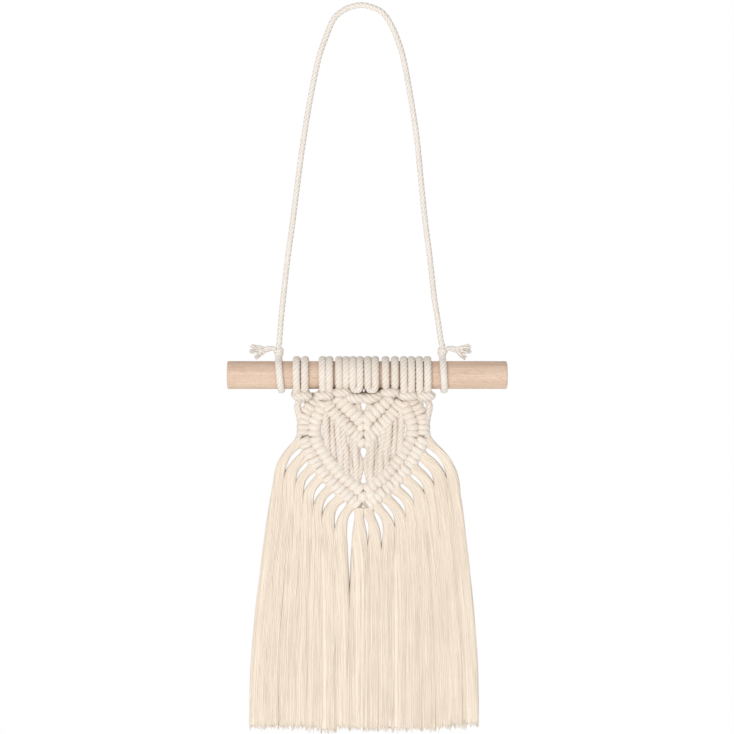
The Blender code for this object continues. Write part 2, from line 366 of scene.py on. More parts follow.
def new_group(name, inputs, outputs):
    group = bpy.data.node_groups.new(name, "ShaderNodeTree")
    for key, value in inputs:
        made = group.interface.new_socket(key, in_out="INPUT", socket_type="NodeSocketFloat")
        made.default_value = value
    for key in outputs:
        group.interface.new_socket(key, in_out="OUTPUT", socket_type="NodeSocketFloat")
    entry = group.nodes.new("NodeGroupInput")
    leave = group.nodes.new("NodeGroupOutput")
    return group, entry.outputs, leave.inputs


def make_fibre_group():
    """Cotton fibres that run along a strand: their tone, their height and soft blotches."""
    group, given, made = new_group(
        "cotton_fibres",
        [("Fibres", 40.0), ("Slant", 0.05), ("Stretch", 0.3), ("Blotch", 90.0)],
        ["Tone", "Height", "Blotches"],
    )
    strand = add_node(group, "ShaderNodeUVMap", uv_map="strand")
    split = add_node(group, "ShaderNodeSeparateXYZ", {0: strand.outputs["UV"]})
    along, around = split.outputs["X"], split.outputs["Y"]
    shade = add_node(group, "ShaderNodeAttribute", attribute_name="shade").outputs["Fac"]
    slanted = maths(group, "MULTIPLY_ADD", along, given["Slant"], around)
    angle = maths(group, "MULTIPLY", slanted, TURN)
    reach = maths(group, "DIVIDE", given["Fibres"], TURN)
    apart = maths(group, "MULTIPLY", shade, 137.0)
    lengthwise = maths(group, "MULTIPLY_ADD", along, given["Stretch"], apart)
    place = add_node(group, "ShaderNodeCombineXYZ", {
        "X": maths(group, "MULTIPLY", maths(group, "COSINE", angle), reach),
        "Y": maths(group, "MULTIPLY", maths(group, "SINE", angle), reach),
        "Z": lengthwise,
    })
    fine = add_node(group, "ShaderNodeTexNoise", {
        "Vector": place.outputs[0], "Scale": 1.0, "Detail": 3.0, "Roughness": 0.6,
    })
    coordinates = add_node(group, "ShaderNodeTexCoord")
    blotches = add_node(group, "ShaderNodeTexNoise", {
        "Vector": coordinates.outputs["Object"], "Scale": given["Blotch"], "Detail": 2.0,
    })
    group.links.new(fine.outputs["Fac"], made["Tone"])
    group.links.new(ranged(group, fine.outputs["Fac"], 0.25, 0.75, 0.0, 1.0), made["Height"])
    group.links.new(blotches.outputs["Fac"], made["Blotches"])
    return group


FIBRES = make_fibre_group()


def new_material(name, roughness, sheen):
    made = bpy.data.materials.new(name)
    made.use_nodes = True
    shader = made.node_tree.nodes["Principled BSDF"]
    shader.inputs["Roughness"].default_value = roughness
    shader.inputs["Specular IOR Level"].default_value = 0.15
    shader.inputs["Sheen Weight"].default_value = sheen
    shader.inputs["Sheen Roughness"].default_value = 0.5
    return made, made.node_tree, shader


# Painted shade: the greatest share of a strand's colour that turns to its painted shade colour.
PAINTED_SHADE_STRENGTH = 0.55
FIBRE_HEIGHT = 0.12 * MM


def cotton(name, light, dark, painted_shade_colour, fibres, slant, stretch, bump):
    """Cotton yarn: fibres along each strand, blotches, and painted shade: a darker colour in the
    grooves between plies, on strand ends and on cords that lie behind others.
    """
    made, tree, shader = new_material(name, 0.9, 0.25)
    group = add_node(tree, "ShaderNodeGroup", node_tree=FIBRES)
    for key, value in (("Fibres", fibres), ("Slant", slant), ("Stretch", stretch)):
        group.inputs[key].default_value = value
    hollow = add_node(tree, "ShaderNodeAttribute", attribute_name="hollow").outputs["Fac"]
    shade = add_node(tree, "ShaderNodeAttribute", attribute_name="shade").outputs["Fac"]
    tone = ranged(tree, group.outputs["Tone"], 0.3, 0.7, 0.0, 0.6)
    tone = maths(tree, "ADD", tone, ranged(tree, group.outputs["Blotches"], 0.3, 0.7, -0.15, 0.25))
    tone = maths(tree, "ADD", tone, ranged(tree, shade, 0.0, 1.0, -0.2, 0.3))
    tone = ranged(tree, tone, 0.0, 1.0, 0.0, 1.0)
    colour = mixed(tree, tone, (*light, 1.0), (*dark, 1.0))
    # Painted shade: the darker colour is mixed in where the strand's painted shade value is high.
    painted_shade_share = maths(tree, "MULTIPLY", maths(tree, "POWER", hollow, 1.6), PAINTED_SHADE_STRENGTH)
    colour = mixed(tree, painted_shade_share, colour, (*painted_shade_colour, 1.0))
    tree.links.new(colour, shader.inputs["Base Color"])
    rough = ranged(tree, group.outputs["Tone"], 0.3, 0.7, 0.82, 0.96)
    tree.links.new(rough, shader.inputs["Roughness"])
    raised = add_node(tree, "ShaderNodeBump", {
        "Strength": bump, "Distance": FIBRE_HEIGHT, "Height": group.outputs["Height"],
    })
    tree.links.new(raised.outputs["Normal"], shader.inputs["Normal"])
    return made


BEECH_LIGHT = (0.85, 0.66, 0.52, 1.0)
BEECH_DARK = (0.60, 0.42, 0.31, 1.0)
BEECH_FLECK = (0.52, 0.33, 0.21, 1.0)
BEECH_END_LIGHT = (0.74, 0.54, 0.40, 1.0)
BEECH_END_DARK = (0.58, 0.39, 0.26, 1.0)
HEART_FORWARD = 11.0 * MM
HEART_BELOW = 6.0 * MM
GRAIN_HEIGHT = 0.08 * MM


def beech():
    """Turned beech: fine lengthwise grain, short dark flecks, and rings on its ends."""
    made, tree, shader = new_material("beech_wood", 0.55, 0.0)
    shader.inputs["Specular IOR Level"].default_value = 0.35
    place = add_node(tree, "ShaderNodeTexCoord").outputs["Object"]

    def stretched(along, across, detail, roughness=0.5):
        scaled = add_node(tree, "ShaderNodeMapping", {
            "Vector": place, "Scale": (along, across, across),
        })
        noise = add_node(tree, "ShaderNodeTexNoise", {
            "Vector": scaled.outputs["Vector"], "Scale": 1.0, "Detail": detail,
            "Roughness": roughness,
        })
        return noise.outputs["Fac"]

    broad = stretched(9.0, 150.0, 2.0)
    grain = stretched(40.0, 1500.0, 3.0)
    pores = stretched(420.0, 3200.0, 1.0)
    tone = ranged(tree, broad, 0.3, 0.7, 0.0, 0.55)
    tone = maths(tree, "ADD", tone, ranged(tree, grain, 0.3, 0.7, 0.0, 0.45))
    wood = mixed(tree, tone, BEECH_LIGHT, BEECH_DARK)
    flecks = ranged(tree, pores, 0.56, 0.68, 0.0, 0.6)
    wood = mixed(tree, flecks, wood, BEECH_FLECK)
    facing = add_node(tree, "ShaderNodeSeparateXYZ", {
        0: add_node(tree, "ShaderNodeNewGeometry").outputs["Normal"],
    })
    on_end = ranged(tree, maths(tree, "ABSOLUTE", facing.outputs["X"]), 0.8, 0.95, 0.0, 1.0)
    centred = add_node(tree, "ShaderNodeMapping", {
        "Vector": place, "Scale": (0.0, 1.0, 1.0),
        "Location": (0.0, HEART_FORWARD, HEART_BELOW - DOWEL_Z),
    })
    rings = add_node(tree, "ShaderNodeTexWave", {
        "Vector": centred.outputs["Vector"], "Scale": 420.0, "Distortion": 1.5, "Detail": 2.0,
    }, wave_type="RINGS", rings_direction="X")
    end_tone = maths(tree, "MULTIPLY", rings.outputs["Fac"], 0.5)
    end_wood = mixed(tree, end_tone, BEECH_END_LIGHT, BEECH_END_DARK)
    colour = mixed(tree, on_end, wood, end_wood)
    tree.links.new(colour, shader.inputs["Base Color"])
    rough = ranged(tree, grain, 0.3, 0.7, 0.48, 0.66)
    tree.links.new(rough, shader.inputs["Roughness"])
    height = maths(tree, "SUBTRACT", grain, flecks)
    raised = add_node(tree, "ShaderNodeBump", {
        "Strength": 0.25, "Distance": GRAIN_HEIGHT, "Height": height,
    })
    tree.links.new(raised.outputs["Normal"], shader.inputs["Normal"])
    return made


# ---- camera, light and floor ----
VIEW_WIDTH = 0.394
VIEW_ACROSS = 2.95 * MM
VIEW_HEIGHT = -192.7 * MM
LENS = 110.0
SENSOR = 36.0
LAMP_SIZE = 0.9
LAMP_AIM = (0.0, 0.0, -0.2)
# Each lamp: its name, its place and its power in watts.
LAMPS = [
    ("back_lamp", (0.3, 1.4, -0.1), 8.0),
    ("key_lamp", (-0.6, -1.4, -0.1), 10.8),
    ("fill_lamp", (0.8, -1.1, -0.95), 9.4),
]
SURROUND_LIGHT = 0.55
SURROUND_SEEN = 1.0
FLOOR_RADIUS = 2.2
FLOOR_Z = -0.8
FLOOR_COLOUR = (0.97, 0.97, 0.96, 1.0)


def make_camera():
    data = bpy.data.cameras.new("camera")
    data.lens = LENS
    data.sensor_width = SENSOR
    camera = new_object("camera", data)
    camera.location = (VIEW_ACROSS, -VIEW_WIDTH * LENS / SENSOR, VIEW_HEIGHT)
    camera.rotation_euler = (math.pi / 2, 0.0, 0.0)
    bpy.context.scene.camera = camera


def make_studio():
    """A white surround, three soft lamps and a plain pale floor below the fringe."""
    world = bpy.data.worlds.new("studio")
    bpy.context.scene.world = world
    world.use_nodes = True
    tree = world.node_tree
    backdrop = tree.nodes["Background"]
    backdrop.inputs["Color"].default_value = (1.0, 1.0, 1.0, 1.0)
    seen = add_node(tree, "ShaderNodeLightPath").outputs["Is Camera Ray"]
    strength = ranged(tree, seen, 0.0, 1.0, SURROUND_LIGHT, SURROUND_SEEN)
    tree.links.new(strength, backdrop.inputs["Strength"])
    for name, place, power in LAMPS:
        data = bpy.data.lights.new(name, "AREA")
        data.size = LAMP_SIZE
        data.energy = power
        lamp = new_object(name, data)
        lamp.location = place
        aim = np.array(LAMP_AIM) - np.array(place)
        yaw = math.atan2(aim[1], aim[0]) - math.pi / 2
        tilt = math.atan2(aim[2], math.hypot(aim[0], aim[1])) + math.pi / 2
        lamp.rotation_euler = (tilt, 0.0, yaw)
    bpy.ops.mesh.primitive_circle_add(vertices=96, radius=FLOOR_RADIUS, fill_type="NGON",
                                      location=(0.0, 0.0, FLOOR_Z))
    floor = bpy.context.object
    floor.name = "floor"
    pale = bpy.data.materials.new("pale_floor")
    pale.use_nodes = True
    shader = pale.node_tree.nodes["Principled BSDF"]
    shader.inputs["Base Color"].default_value = FLOOR_COLOUR
    shader.inputs["Roughness"].default_value = 0.9
    floor.data.materials.append(pale)
    bpy.context.scene.view_settings.view_transform = "Standard"


# ---- the hanging cord and its tied ends ----
def hanging_route():
    left = box_of("left_hanging_knot")
    right = box_of("right_hanging_knot")
    apex = box_of("hanging_cord")[1][2] - HANG_CORD / 2
    base = left[1][2] + CORD_END_GAP
    rise = apex - base
    route = [(left[2][0] * x, 0.0, base + rise * z) for x, z in HANG_LEFT]
    route.append((0.0, 0.0, apex))
    route += [(right[2][0] * x, 0.0, base + rise * z) for x, z in HANG_RIGHT]
    return np.array(route)


def make_hanging_cord(finish):
    line = smooth_line(hanging_route(), ROPE_STEP)
    skein = Skein()
    skein.lay(line, HANG_CORD / 2)
    cord = skein.piece("hanging_cord_twisted", finish, "hanging_cord", "hanger", "hanging_cord")


LOOP_HALF_WIDTH = 1.9 * MM
LOOP_HALF_DEPTH = 1.15 * MM
LOOP_OFF_DOWEL = 0.1 * MM
LOOP_FROM = 28.0
LOOP_TO = 332.0
KNOT_CORD_RADIUS = 1.45 * MM
KNOT_TURNS = 1.75
KNOT_FROM = -40.0
TAIL_YARNS = 18
TAIL_YARN_RADIUS = 0.36
# How far out, up and back from its knot each of a tail's three plies ends, in mm.
TAIL_TIPS = [(15.3, 3.2, -1.6), (15.7, 0.2, 0.6), (12.9, -3.2, 1.4)]


def make_loop(side, knot, slant, finish):
    """The loop round the dowel, from the back of its knot to the front."""
    ring = DOWEL_RADIUS + LOOP_OFF_DOWEL + LOOP_HALF_DEPTH
    loop = [knot + np.array([0.0, -0.9, -1.2]) * MM]
    for angle in np.radians(np.linspace(LOOP_FROM, LOOP_TO, 17)):
        shift = slant * (1.0 - math.cos(angle)) / 2
        loop.append(np.array([
            knot[0] + shift, -ring * math.sin(angle), DOWEL_Z + ring * math.cos(angle),
        ]))
    loop.append(knot + np.array([0.0, 0.9, -1.2]) * MM)
    line = smooth_line(loop, ROPE_STEP)
    skein = Skein()
    skein.lay(line, LOOP_HALF_WIDTH, flat=LOOP_HALF_DEPTH / LOOP_HALF_WIDTH,
              facing=(line - (0.0, 0.0, DOWEL_Z)) * (0.0, 1.0, 1.0), shade=0.35)
    return skein.piece(f"{side}_loop_round_dowel", finish, "hanging_cord", "hanger",
                       f"{side}_end_loop")


def make_hanging_knot(side, knot, outwards, finish):
    """The small knot: the cord's end wrapped round the cord that comes down."""
    wraps = []
    for share in np.linspace(0.0, 1.0, 25):
        angle = math.radians(KNOT_FROM) + TURN * KNOT_TURNS * share
        wraps.append(knot + np.array([
            -outwards * 1.35 * math.sin(angle), -1.3 * math.cos(angle), -1.5 + 3.2 * share,
        ]) * MM)
    skein = Skein()
    skein.lay(smooth_line(wraps, 0.4 * MM), KNOT_CORD_RADIUS, shade=0.4)
    middle = [knot + np.array([0.0, 0.0, rise]) * MM for rise in (-2.6, -1.0, 1.0, 3.6)]
    skein.lay(smooth_line(middle, ROPE_STEP), HANG_CORD / 2 * 0.95)
    return skein.piece(f"{side}_knot_tied", finish, "hanging_cord", "hanger",
                       f"{side}_hanging_knot")


def make_tail(side, knot, outwards, finish):
    """The cord's end past its knot: three plies that part and fray into yarns."""
    skein = Skein()
    random = np.random.default_rng(SEED + (side == "right"))
    for ply, (out, rise, back) in enumerate(TAIL_TIPS):
        turn = TURN * ply / 3
        route = [
            (1.6, 1.2, -1.0),
            (3.4, 1.9 + 0.5 * math.cos(turn), -0.6 + 0.5 * math.sin(turn)),
            (6.2, 1.5 + 0.7 * math.cos(turn + 1.6), 0.6 * math.sin(turn + 1.6)),
            (9.2, 0.6 + 0.45 * rise, 0.6 * back),
            (out, rise, back),
        ]
        route = np.array([knot + np.array([outwards * x, y, z]) * MM for x, z, y in route])
        line = smooth_line(route, ROPE_STEP)
        share = run_of(line) / run_of(line)[-1]
        ahead, over = square_to(line)
        for k in range(TAIL_YARNS):
            angle = TURN * k / TAIL_YARNS + random.uniform(-0.3, 0.3)
            spread = 0.55 + (0.5 + random.uniform(-0.2, 0.4)) * share ** 1.6
            spread = spread * MM * (0.35 if k % 3 == 0 else 1.0)
            turned = angle + 5.0 * share
            wave = 0.18 * MM * np.sin(9.0 * share + k)[:, None] * share[:, None]
            yarn = line + ahead * (np.cos(turned) * spread)[:, None]
            yarn = yarn + over * (np.sin(turned) * spread)[:, None] + over * wave
            keep = round(len(line) * random.uniform(0.88, 1.0))
            width = TAIL_YARN_RADIUS * MM * (1.0 - 0.3 * share)
            skein.lay(yarn[:keep], width[:keep], YARN_SECTION, lay_length=None,
                      shade=random.random())
    return skein.piece(f"{side}_tail_frayed", finish, "hanging_cord", "hanger",
                       f"{side}_frayed_tail")


def make_tied_end(side, outwards, slant, finish):
    """A loop round the dowel, the small knot that closes it, and its frayed tail."""
    knot = box_of(f"{side}_hanging_knot")[2]
    return [
        make_loop(side, knot, slant, finish),
        make_hanging_knot(side, knot, outwards, finish),
        make_tail(side, knot, outwards, finish),
    ]


# ---- the dowel ----
DOWEL_SIDES = 96
DOWEL_STEPS = 60
LEFT_ROUND = 0.5 * MM
RIGHT_ROUND = 1.0 * MM


def make_dowel(finish):
    """A turned dowel: a profile from one end's centre to the other, spun round its axis."""
    left, right = DOWEL_LOW[0], DOWEL_HIGH[0]
    profile = [(left, r) for r in np.linspace(0.0, DOWEL_RADIUS - LEFT_ROUND, 7)]
    corner = np.radians(np.linspace(0.0, 90.0, 6))[1:]
    for angle in corner:
        profile.append((left + LEFT_ROUND * (1 - math.cos(angle)),
                        DOWEL_RADIUS - LEFT_ROUND * (1 - math.sin(angle))))
    for x in np.linspace(left + LEFT_ROUND, right - RIGHT_ROUND, DOWEL_STEPS)[1:]:
        profile.append((x, DOWEL_RADIUS))
    for angle in corner:
        profile.append((right - RIGHT_ROUND * (1 - math.sin(angle)),
                        DOWEL_RADIUS - RIGHT_ROUND * (1 - math.cos(angle))))
    profile += [(right, r) for r in np.linspace(DOWEL_RADIUS - RIGHT_ROUND, 0.0, 7)[1:]]
    data = bpy.data.meshes.new("dowel_turned")
    places = [(x, 0.0, DOWEL_Z + r) for x, r in profile]
    data.from_pydata(places, [(k, k + 1) for k in range(len(places) - 1)], [])
    dowel = new_object("dowel_turned", data)
    dowel.data.materials.append(finish)
    pivot = new_object("dowel_axis", None)
    pivot.location = (0.0, 0.0, DOWEL_Z)
    spin = dowel.modifiers.new("turned", "SCREW")
    spin.object = pivot
    spin.axis = "X"
    spin.steps = DOWEL_SIDES
    spin.render_steps = DOWEL_SIDES
    spin.use_merge_vertices = True
    spin.merge_threshold = 0.00001
    spin.use_smooth_shade = True
    spin.use_normal_calculate = True
    solid = bpy.data.meshes.new_from_object(
        dowel.evaluated_get(bpy.context.evaluated_depsgraph_get()))
    dowel.modifiers.clear()
    dowel.data = solid
    bpy.data.objects.remove(pivot)
    solid.shade_smooth()
    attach(dowel, "panel")
    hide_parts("dowel")


# ---- lark's heads ----
# Each head: (centre across, half the distance between its strands, its bar's middle
# across, how far below the dowel's underside the bar lies, which way it is mounted).
LARK_HEADS = [
    (-33.6, 2.25, -32.6, 3.6, "bar"),
    (-20.1, 1.85, -21.2, 3.4, "bar"),
    (-11.2, 1.90, -11.6, 1.8, "bar"),
    (-3.8, 1.90, -3.8, 0.6, "loop"),
    (4.3, 1.95, 4.3, 0.6, "loop"),
    (14.3, 2.50, 14.2, 1.8, "bar"),
    (23.6, 2.05, 24.0, 3.6, "bar"),
    (32.1, 2.20, 33.4, 3.6, "bar"),
]
BAR_REACH = 3.0
BAR_FORWARD = 6.6
# A head's cord is flat on the dowel and rounder off it: from this far out from the
# dowel's axis, over this distance. A bar's cord is fuller where it shows in front.
ROUND_FROM = 9.3
ROUND_OVER = 1.4
ROUND_FLATNESS = 0.98
ROUND_THINNER = 0.08
BAR_FULLER = 0.22
BAR_FRONT = 4.0 * MM


def ring_points(x, from_angle, to_angle, steps, ring):
    """Points round the dowel at x; angle 0 is its top and 90 degrees its front, in mm."""
    return [
        (x, ring * math.sin(angle), ring * math.cos(angle))
        for angle in np.radians(np.linspace(from_angle, to_angle, steps))
    ]


def lark_head_route(half, bar_shift, bar_down, kind):
    """(across, forward, up) from the dowel's axis in mm, for the head's left half."""
    radius = DOWEL_RADIUS / MM
    ring = radius + 0.05 + CORD_HALF_DEPTH / MM
    low = -radius - bar_down
    if kind == "bar":
        route = [(-1.1, 0.2, low - 2.6), (-1.3, 2.6, low - 0.4), (-half + 0.2, 5.6, low + 2.4)]
        route += ring_points(-half, 118.0, -148.0, 14, ring)
        route += [
            (-half - 0.8, -2.0, -radius - 2.0),
            (-half - 1.2, 2.2, low + 0.5),
            (bar_shift - BAR_REACH, BAR_FORWARD - 1.1, low),
            (bar_shift - BAR_REACH * 0.45, BAR_FORWARD, low - 0.1),
        ]
    else:
        route = [(-1.4, -1.0, low - 6.0), (-1.6, -3.6, low - 3.2), (-half, -6.4, low - 0.6)]
        route += ring_points(-half, -128.0, 96.0, 14, ring)
        route += [(-half * 0.98, ring - 0.6, low + 2.3), (-half * 0.6, ring - 0.9, low + 0.4)]
    return np.array(route)


def make_lark_heads(finish):
    random = np.random.default_rng(SEED)
    for number, (centre, half, bar, bar_down, kind) in enumerate(LARK_HEADS, start=1):
        left = lark_head_route(half, bar - centre, bar_down, kind)
        right = lark_head_route(half, centre - bar, bar_down, kind)
        route = np.vstack([left, (right * (-1.0, 1.0, 1.0))[::-1]])
        places = np.stack([
            PANEL_X + (centre + route[:, 0]) * MM, -route[:, 1] * MM, DOWEL_Z + route[:, 2] * MM,
        ], axis=1)
        line = smooth_line(places, ROPE_STEP)
        away = (line - (0.0, 0.0, DOWEL_Z)) * (0.0, 1.0, 1.0)
        far = np.linalg.norm(away, axis=1)
        rounder = np.clip((far / MM - ROUND_FROM) / ROUND_OVER, 0.0, 1.0)
        flat = CORD_HALF_DEPTH / CORD_HALF_WIDTH
        full = rounder * (kind == "bar") * (away[:, 1] < -BAR_FRONT)
        skein = Skein()
        skein.lay(line, CORD_HALF_WIDTH * (1.0 - ROUND_THINNER * rounder + BAR_FULLER * full),
                  flat=flat + (ROUND_FLATNESS - flat) * rounder, facing=away, **varied(random))
        skein.piece(f"lark_head_{number}_tied", finish, "knotted_cord", "panel", f"lark_head_{number}")


# ---- rows of double half hitches ----
WRAP_STEPS = 26
BACK_SHARE = 0.72
WRAP_START = 0.35
WRAP_HALF_SHARE = 0.61
WRAP_SECTION = plied_section(4, 5, 0.12)
CROSSING_BACK = 1.4
CROSSING_RADIUS = 1.7
FORWARD = np.array([0.0, -1.0, 0.0])


def hitch_row(skein, route, knots, half_width, half_depth, random, thickness=1.5,
              gap=0.2, core=1.6):
    """Knots along a core cord: each is two wraps, side by side in front."""
    line = smooth_line(panel_points(route), 0.4 * MM)
    length = run_of(line)[-1]
    knot_pitch = length / knots
    wrap_pitch = (knot_pitch - gap * MM) / 2
    starts = []
    for knot in range(knots):
        begin = knot * knot_pitch + (gap / 2 + random.uniform(-0.12, 0.12)) * MM
        starts += [begin, begin + wrap_pitch]
    starts = np.array(starts + [length])
    turns = np.linspace(0.0, 2 * knots, 2 * knots * WRAP_STEPS + 1)
    wrap = np.minimum(turns.astype(int), 2 * knots - 1)
    share = turns - wrap
    back = np.clip(2 * share - 1.0, 0.0, 1.0)
    eased = (1 - BACK_SHARE) * share + BACK_SHARE * back * back * (3 - 2 * back)
    run = starts[wrap] + eased * (starts[wrap + 1] - starts[wrap]) + wrap_pitch * WRAP_START
    run = np.clip(run, 0.0, length)
    centre = at_runs(line, run)
    ahead = unit(np.gradient(line, axis=0))
    heading = unit(between(run_of(line), ahead, run))
    side = np.cross(heading, FORWARD)
    wobble = np.interp(turns, np.arange(2 * knots + 1), random.uniform(0.94, 1.06, 2 * knots + 1))
    angle = TURN * turns
    out = side * (np.cos(angle) * (half_width - thickness) * MM * wobble)[:, None]
    out = out + FORWARD * (np.sin(angle) * (half_depth - thickness) * MM * wobble)[:, None]
    half_wrap = wrap_pitch * WRAP_HALF_SHARE
    skein.lay(centre + out, half_wrap, WRAP_SECTION, flat=thickness * MM / half_wrap, facing=out,
              **varied(random))
    # The core cord, with painted shade where it shows between the wraps.
    skein.lay(line, core * MM, shade=0.6, hollow=0.3)


def hanging_cords(skein, routes, radius, random):
    """Cords that hang next to each other, in front of and behind one another by turns."""
    for number, route in enumerate(routes):
        line = smooth_line(panel_points(route), ROPE_STEP)
        share = run_of(line) / run_of(line)[-1]
        sway = random.uniform(0.0, TURN)
        forward = 0.8 * np.cos(math.pi * number) + 0.4 * np.sin(TURN * share + sway)
        skein.lay(line + FORWARD * (forward * MM)[:, None], radius * MM, **varied(random))


def crossing_cords(skein, upper, lower, cords):
    """The cords that pass from one row's knots down to the next row's, behind both; painted shade
    darkens them.
    """
    shares = np.linspace(0.03, 0.97, cords)
    above = smooth_line(panel_points(upper, -CROSSING_BACK), ROPE_STEP)
    below = smooth_line(panel_points(lower, -CROSSING_BACK), ROPE_STEP)
    above = at_runs(above, shares * run_of(above)[-1])
    below = at_runs(below, shares * run_of(below)[-1])
    for first, last in zip(above, below):
        # Painted shade: these cords are given a dark tone and near-full painted shade, as they lie in
        # shade behind the rows.
        skein.lay(smooth_line([first, last], ROPE_STEP), CROSSING_RADIUS * MM,
                  shade=0.8, hollow=0.95)


V_BAND = [(-14.2, 3.6), (-11.0, 7.1), (-7.8, 10.3), (-4.3, 13.6), (0.0, 17.9)]
SECOND_ROW = [(-20.6, 6.8), (-17.1, 11.5), (-13.3, 15.8), (-9.7, 19.6), (-5.4, 23.6), (-0.9, 26.6)]
HEART_BAND = [
    (-21.4, 7.0), (-23.4, 11.6), (-25.7, 17.2), (-26.4, 21.6), (-25.9, 26.2), (-23.4, 31.2),
    (-19.8, 36.6), (-16.2, 41.6), (-11.4, 46.4), (-5.8, 51.0), (-0.9, 55.0),
]
LOWER_HEART = HEART_BAND[4:]
EDGE_BAND = [(-25.0, 3.6), (-28.0, 8.2), (-31.0, 13.6), (-32.2, 19.0), (-32.2, 25.0)]
SIDE_STRAND = [(-33.9, 4.6), (-35.4, 9.2), (-34.6, 14.0), (-33.8, 19.0), (-34.2, 24.5), (-36.0, 29.6)]
FRINGE_ROW = [
    (-32.4, 26.4), (-30.0, 31.2), (-27.2, 36.6), (-23.8, 41.8), (-19.6, 46.9), (-14.4, 52.0),
    (-8.5, 57.2), (-1.9, 62.6),
]
OUTER_CORDS = [
    [(-20.0, 9.5), (-20.4, 16.0), (-20.2, 22.0), (-19.8, 28.0), (-19.6, 35.0)],
    [(-16.9, 12.0), (-17.0, 18.0), (-16.8, 25.0), (-16.4, 32.0), (-15.8, 39.0)],
    [(-13.8, 14.5), (-13.6, 21.0), (-13.2, 27.0), (-12.1, 33.5), (-12.4, 43.0)],
]
MIDDLE_CORDS = [
    [(-10.8, 18.0), (-10.6, 24.0), (-10.3, 29.5), (-9.2, 35.0), (-9.2, 46.0)],
    [(-6.2, 23.0), (-6.2, 28.5), (-6.6, 34.0), (-7.2, 39.5), (-6.2, 47.0)],
]
INNER_CORDS = [
    [(-4.6, 25.0), (-4.5, 31.0), (-4.3, 36.0), (-3.8, 42.0), (-4.0, 50.0)],
    [(-1.4, 28.0), (-3.4, 33.5), (-1.6, 38.5), (-1.7, 43.0), (-3.4, 51.0)],
]
# The bar of the half hitch below each of the two middle lark's heads.
MIDDLE_BAR = [(-8.8, 2.4, -1.5), (-8.0, 3.6, 3.0), (-4.4, 4.9, 4.8), (-1.2, 4.9, 4.4), (0.2, 4.3, 0.0)]
# The strand that comes down from a middle lark's head into the V, beside its small hole.
MIDDLE_STRAND = [(-3.1, 6.4, 0.4), (-2.8, 9.0, 0.9), (-2.2, 12.8, 0.4)]
# The knots where the V's two arms meet and where the second row's two arms meet.
V_KNOT = [(-2.6, 19.4), (0.5, 20.6), (3.6, 19.4)]
MEETING_KNOT = [(-2.4, 28.2), (0.8, 29.5), (4.0, 28.2)]


def mirrored(route, sign):
    return [(sign * point[0], *point[1:]) for point in route]


def make_row_piece(side, name, finish, draw):
    """One row on one side, drawn by a function of its skein, its sign and its random."""
    sign = 1 if side == "left" else -1
    skein = Skein()
    random = np.random.default_rng(SEED + len(name) + 7 * (sign < 0))
    draw(skein, sign, random)
    skein.piece(f"{side}_{name}_knotted", finish, "knotted_cord", "panel", f"{side}_{name}")


def draw_v_band(skein, sign, random):
    hitch_row(skein, mirrored(V_BAND, sign), 3, 4.5, 4.2, random, thickness=1.8, core=2.4)
    bar = smooth_line(panel_points(mirrored(MIDDLE_BAR, sign)), ROPE_STEP)
    skein.lay(bar, 2.9 * MM, shade=0.4)
    strand = smooth_line(panel_points(mirrored(MIDDLE_STRAND, sign)), ROPE_STEP)
    skein.lay(strand, 1.7 * MM, shade=0.5)
    if sign > 0:
        hitch_row(skein, V_KNOT, 1, 3.0, 3.4, random)


def draw_second_row(skein, sign, random):
    hitch_row(skein, mirrored(SECOND_ROW, sign), 5, 4.0, 3.4, random, gap=0.5)
    crossing_cords(skein, mirrored(V_BAND[:-1], sign), mirrored(SECOND_ROW[:-1], sign), 6)
    if sign > 0:
        hitch_row(skein, MEETING_KNOT, 1, 3.0, 3.2, random)


def draw_heart_band(skein, sign, random):
    hitch_row(skein, mirrored(HEART_BAND, sign), 9, 3.9, 4.0, random, thickness=1.6)


def draw_edge_band(skein, sign, random):
    hitch_row(skein, mirrored(EDGE_BAND, sign), 4, 3.7, 3.2, random, gap=0.5)
    crossing_cords(skein, mirrored(EDGE_BAND, sign), mirrored(HEART_BAND[:5], sign), 7)


def draw_side_strand(skein, sign, random):
    line = smooth_line(panel_points(mirrored(SIDE_STRAND, sign)), ROPE_STEP)
    skein.lay(line, 1.9 * MM, shade=0.5, phase=1.0)


def draw_fringe_row(skein, sign, random):
    hitch_row(skein, mirrored(FRINGE_ROW, sign), 8, 3.9, 3.6, random, gap=0.5)
    crossing_cords(skein, mirrored(LOWER_HEART, sign), mirrored(FRINGE_ROW, sign), 15)


def draw_cords(routes, radius):
    """A function that draws one side's loose strands inside the heart."""
    def draw(skein, sign, random):
        hanging_cords(skein, [mirrored(route, sign) for route in routes], radius, random)
    return draw


ROWS = {
    "v_band": draw_v_band,
    "second_row": draw_second_row,
    "heart_band": draw_heart_band,
    "edge_band": draw_edge_band,
    "side_strand": draw_side_strand,
    "fringe_row": draw_fringe_row,
    "outer_cords": draw_cords(OUTER_CORDS, 2.0),
    "middle_cords": draw_cords(MIDDLE_CORDS, 1.95),
    "inner_cords": draw_cords(INNER_CORDS, 1.85),
}
TIP_KNOT = [(-2.4, 58.4), (1.8, 57.2), (6.4, 55.2)]


def make_knotted_panel(finish):
    for side in ("left", "right"):
        for name, draw in ROWS.items():
            make_row_piece(side, name, finish, draw)
    skein = Skein()
    random = np.random.default_rng(SEED + 100)
    hitch_row(skein, TIP_KNOT, 1, 3.5, 4.4, random, thickness=1.7, gap=0.4)
    skein.piece("tip_knot_tied", finish, "knotted_cord", "panel", "tip_knot")


# ---- the fringe ----
YARN_RADIUS = 0.27
# Each layer of yarns: its share of the way out, and its number of clumps.
YARN_LAYERS = [(0.94, 17), (0.84, 11)]
YARNS_IN_CLUMP = 3
STRAY_SHARE = 0.04
STRAY_REACH = 2.4
SHORT_SHARE = 0.07
END_SPREAD = 0.9
CORE_SHARE = 0.92
CORE_ABOVE_END = 0.9
